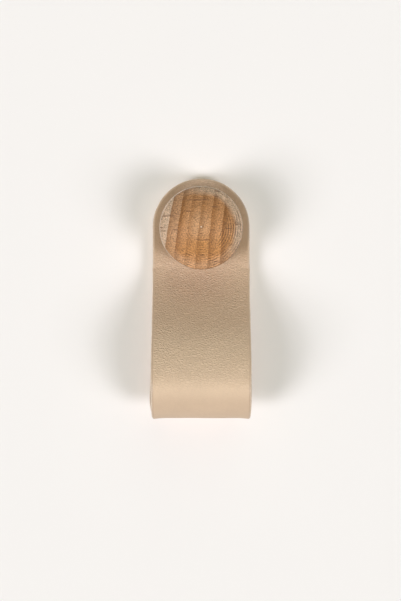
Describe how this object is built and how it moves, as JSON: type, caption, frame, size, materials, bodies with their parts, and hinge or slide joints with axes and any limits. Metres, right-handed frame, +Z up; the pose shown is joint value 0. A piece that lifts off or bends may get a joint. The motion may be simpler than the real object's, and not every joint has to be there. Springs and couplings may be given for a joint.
{
  "type": "leather strap pull",
  "caption": "Cupboard or drawer pull: a leather strap folded into a hanging finger loop, clamped to the door front under a turned round wooden knob by a screw from behind.",
  "frame": {"origin": "the point where the screw's axis meets the front of the door, on the back of the strap's rear leaf", "axes": "+Z up along the strap, from the fold to the rounded ends; +Y into the door along the screw, so the knob and the loop stand out towards -Y; +X to the right when the pull is seen from its front"},
  "size_m": [0.03, 0.0457, 0.0738],
  "materials": {
    "leather": "natural vegetable-tanned grain side out, satin, with burnished edges and a matt flesh side",
    "beech": "oiled, end grain on the crown, sanded shoulder",
    "brass": "plain turned",
    "zinc_plated_steel": "bright zinc plated"
  },
  "bodies": {
    "root": {"strap": "leather", "wooden_knob": "beech", "threaded_insert": "brass", "mounting_screw": "zinc_plated_steel"}
  },
  "joints": []
}
